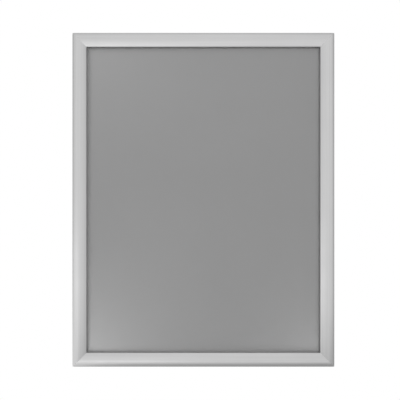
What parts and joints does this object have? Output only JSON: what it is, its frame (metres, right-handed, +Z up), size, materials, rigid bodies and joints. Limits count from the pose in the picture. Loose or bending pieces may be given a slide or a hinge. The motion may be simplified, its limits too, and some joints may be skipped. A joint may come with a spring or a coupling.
{
  "type": "clip frame",
  "caption": "Portrait aluminium clip frame for posters: mitred rails that hinge open on hidden leaf springs, over a clear cover sheet and a grey back panel.",
  "frame": {"origin": "centre of the frame's back, on the wall plane and in the middle of the wall screws", "axes": "+Z up along the portrait height, +X to the right seen from the front, +Y into the wall; the front faces -Y"},
  "size_m": [0.4622, 0.0123, 0.5892],
  "materials": {
    "snap_rail": "satin silver anodised",
    "base_rail": "satin silver anodised",
    "corner_key": "zinc plated",
    "leaf_spring": "tempered spring steel",
    "back_panel": "matt grey",
    "cover_sheet": "clear, anti-glare"
  },
  "bodies": {
    "base_frame": {"bottom_base_rail": "base_rail", "right_base_rail": "base_rail", "top_base_rail": "base_rail", "left_base_rail": "base_rail", "bottom_left_corner_key": "corner_key", "top_left_corner_key": "corner_key", "bottom_right_corner_key": "corner_key", "top_right_corner_key": "corner_key", "back_panel": "back_panel", "cover_sheet": "cover_sheet"},
    "bottom_snap": {"bottom_snap_rail": "snap_rail"},
    "bottom_springs": {"bottom_leaf_spring_1": "leaf_spring", "bottom_leaf_spring_2": "leaf_spring"},
    "right_snap": {"right_snap_rail": "snap_rail"},
    "right_springs": {"right_leaf_spring_1": "leaf_spring", "right_leaf_spring_2": "leaf_spring", "right_leaf_spring_3": "leaf_spring"},
    "top_snap": {"top_snap_rail": "snap_rail"},
    "top_springs": {"top_leaf_spring_1": "leaf_spring", "top_leaf_spring_2": "leaf_spring"},
    "left_snap": {"left_snap_rail": "snap_rail"},
    "left_springs": {"left_leaf_spring_1": "leaf_spring", "left_leaf_spring_2": "leaf_spring", "left_leaf_spring_3": "leaf_spring"}
  },
  "joints": [
    {"name": "bottom_snap_hinge", "type": "hinge", "parent": "base_frame", "child": "bottom_snap", "pos_m": [0, -0.0062, -0.29237], "axis": [1, 0, 0], "range_deg": [0, 90]},
    {"name": "bottom_spring_pivot", "type": "hinge", "parent": "base_frame", "child": "bottom_springs", "pos_m": [0, -0.0033, -0.2808], "axis": [1, 0, 0], "range_deg": [-31, 0], "deforming": ["bottom_leaf_spring_1", "bottom_leaf_spring_2"]},
    {"name": "right_snap_hinge", "type": "hinge", "parent": "base_frame", "child": "right_snap", "pos_m": [0.22887, -0.0062, 0], "axis": [0, 0, 1], "range_deg": [0, 90]},
    {"name": "right_spring_pivot", "type": "hinge", "parent": "base_frame", "child": "right_springs", "pos_m": [0.2173, -0.0033, 0], "axis": [0, 0, 1], "range_deg": [-31, 0], "deforming": ["right_leaf_spring_1", "right_leaf_spring_2", "right_leaf_spring_3"]},
    {"name": "top_snap_hinge", "type": "hinge", "parent": "base_frame", "child": "top_snap", "pos_m": [0, -0.0062, 0.29237], "axis": [-1, 0, 0], "range_deg": [0, 90]},
    {"name": "top_spring_pivot", "type": "hinge", "parent": "base_frame", "child": "top_springs", "pos_m": [0, -0.0033, 0.2808], "axis": [-1, 0, 0], "range_deg": [-31, 0], "deforming": ["top_leaf_spring_1", "top_leaf_spring_2"]},
    {"name": "left_snap_hinge", "type": "hinge", "parent": "base_frame", "child": "left_snap", "pos_m": [-0.22887, -0.0062, 0], "axis": [0, 0, -1], "range_deg": [0, 90]},
    {"name": "left_spring_pivot", "type": "hinge", "parent": "base_frame", "child": "left_springs", "pos_m": [-0.2173, -0.0033, 0], "axis": [0, 0, -1], "range_deg": [-31, 0], "deforming": ["left_leaf_spring_1", "left_leaf_spring_2", "left_leaf_spring_3"]}
  ],
  "couplings": [
    {"joint": "bottom_spring_pivot", "follows": "bottom_snap_hinge", "ratio": -0.33939},
    {"joint": "right_spring_pivot", "follows": "right_snap_hinge", "ratio": -0.33939},
    {"joint": "top_spring_pivot", "follows": "top_snap_hinge", "ratio": -0.33939},
    {"joint": "left_spring_pivot", "follows": "left_snap_hinge", "ratio": -0.33939}
  ]
}
